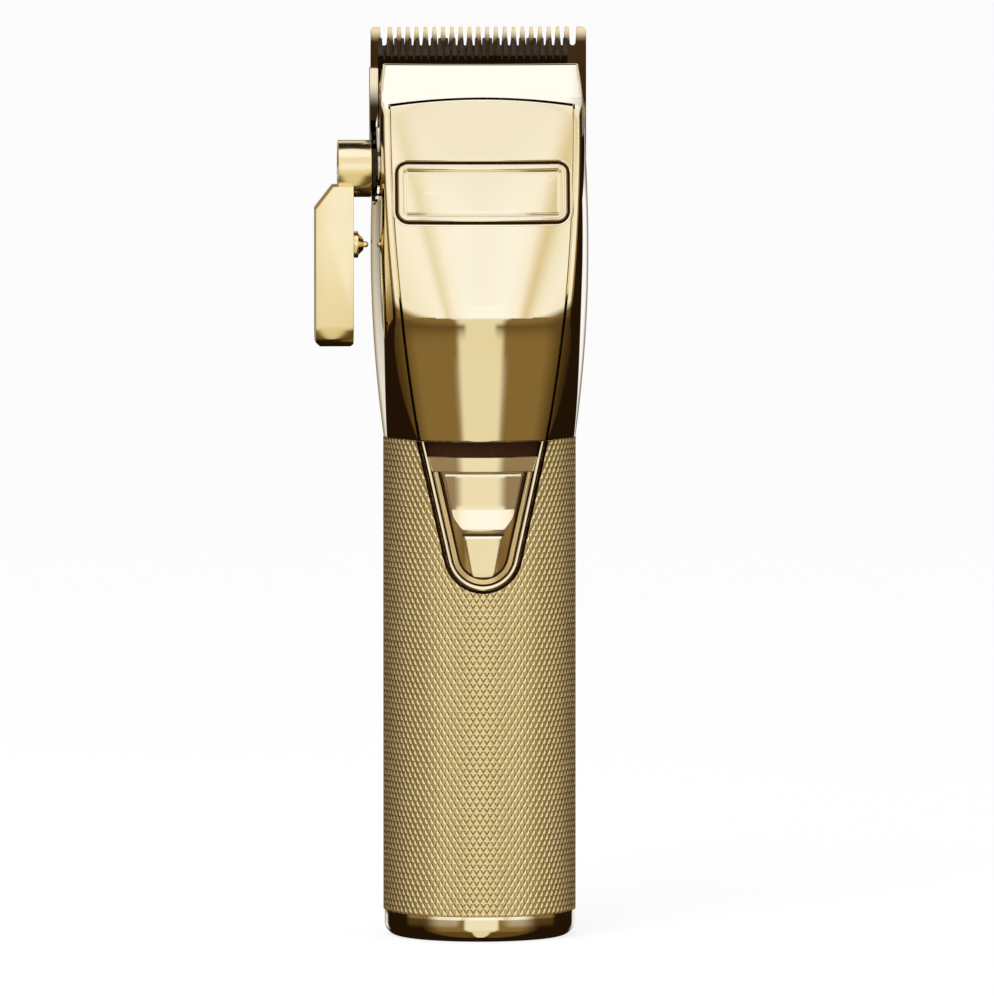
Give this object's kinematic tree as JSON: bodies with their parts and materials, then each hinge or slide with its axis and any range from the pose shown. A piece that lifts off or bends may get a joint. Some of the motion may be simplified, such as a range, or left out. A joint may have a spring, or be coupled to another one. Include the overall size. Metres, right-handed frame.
{
  "type": "hair clipper",
  "caption": "Cordless all-metal hair clipper with a knurled round barrel, slide switch, taper lever, and a comb blade set driven by a rotary motor.",
  "frame": {"origin": "centre of the flat base face, on the barrel's axis", "axes": "+Z along the barrel towards the blade, -Y out of the front with the slide switch, +X to the side away from the taper lever"},
  "size_m": [0.0575, 0.0448, 0.1896],
  "materials": {
    "gold_polish": "mirror-polished gold plating",
    "gold_knurl": "satin gold, diamond knurled",
    "gold_lever": "pale satin gold",
    "gold_blade": "gold-coated ground steel",
    "black_blade": "black hard coating, satin",
    "black_plastic": "fine matt moulding",
    "seal_rubber": "matt rubber",
    "steel": "bright zinc",
    "magnet_dark": "sintered",
    "copper": "laminations and windings",
    "cell_wrap": "shrink wrap",
    "board_green": "solder mask",
    "wire_red": "wire sleeve",
    "light_white": "clear light pipe"
  },
  "bodies": {
    "housing": {"head_housing": "gold_polish", "front_cover": "gold_polish", "badge_plate": "gold_polish", "barrel_sleeve": "gold_knurl", "base_ring": "gold_polish", "base_plug": "black_plastic", "base_seal": "seal_rubber", "cap_screws": "steel", "charging_socket": "black_plastic", "socket_pin": "steel", "inner_frame": "black_plastic", "frame_screws": "steel", "battery_cell": "cell_wrap", "battery_tabs": "steel", "battery_leads": "wire_red", "control_board": "board_green", "board_parts": "black_plastic", "board_screws": "steel", "power_switch": "black_plastic", "status_light": "light_white", "light_bar": "black_plastic", "switch_bezel": "gold_polish", "motor_cradle": "black_plastic", "motor_can": "steel", "motor_magnets": "magnet_dark", "motor_plate": "steel", "motor_screws": "steel", "motor_leads": "wire_red", "cutter_spring": "steel", "carrier_screws": "steel", "pivot_post": "black_blade", "lever_screw": "gold_lever", "lever_washer": "steel"},
    "lever": {"taper_lever": "gold_lever", "plunger_body": "gold_lever"},
    "blade": {"fixed_blade": "gold_blade", "blade_screws": "gold_blade", "blade_carrier": "gold_polish", "blade_arm": "gold_polish"},
    "rotor": {"motor_shaft": "steel", "armature": "copper", "eccentric": "steel", "eccentric_bearing": "steel"},
    "cutter": {"cutter": "black_blade", "drive_yoke": "black_plastic"},
    "slider": {"switch_slider": "gold_polish"},
    "detent": {"detent_pin": "gold_lever", "detent_spring": "steel"}
  },
  "joints": [
    {"name": "taper_lever_turn", "type": "hinge", "parent": "housing", "child": "lever", "pos_m": [-0.0263, -0.0055, 0.1606], "axis": [1, 0, 0], "range_deg": [-20, 20]},
    {"name": "blade_slide", "type": "slide", "parent": "housing", "child": "blade", "axis": [0, 0, 1], "range_m": [-0.00137, 0.00137]},
    {"name": "rotor_spin", "type": "hinge", "parent": "housing", "child": "rotor", "pos_m": [0, -0.005, 0.13], "axis": [0, 0, 1], "range_deg": [0, 180]},
    {"name": "cutter_slide", "type": "slide", "parent": "housing", "child": "cutter", "axis": [1, 0, 0], "range_m": [0, 0.00249]},
    {"name": "switch_slide", "type": "slide", "parent": "housing", "child": "slider", "axis": [0, 0, 1], "range_m": [0, 0.003]},
    {"name": "detent_slide", "type": "slide", "parent": "lever", "child": "detent", "axis": [-1, 0, 0], "range_m": [0, 0.0008], "stiffness_N_per_m": 300, "springref_m": -0.0005, "deforming": ["detent_spring"]}
  ],
  "couplings": [
    {"joint": "taper_lever_turn", "follows": "blade_slide", "rad_per_m": 253},
    {"joint": "rotor_spin", "follows": "cutter_slide", "rad_per_m": 1257}
  ]
}
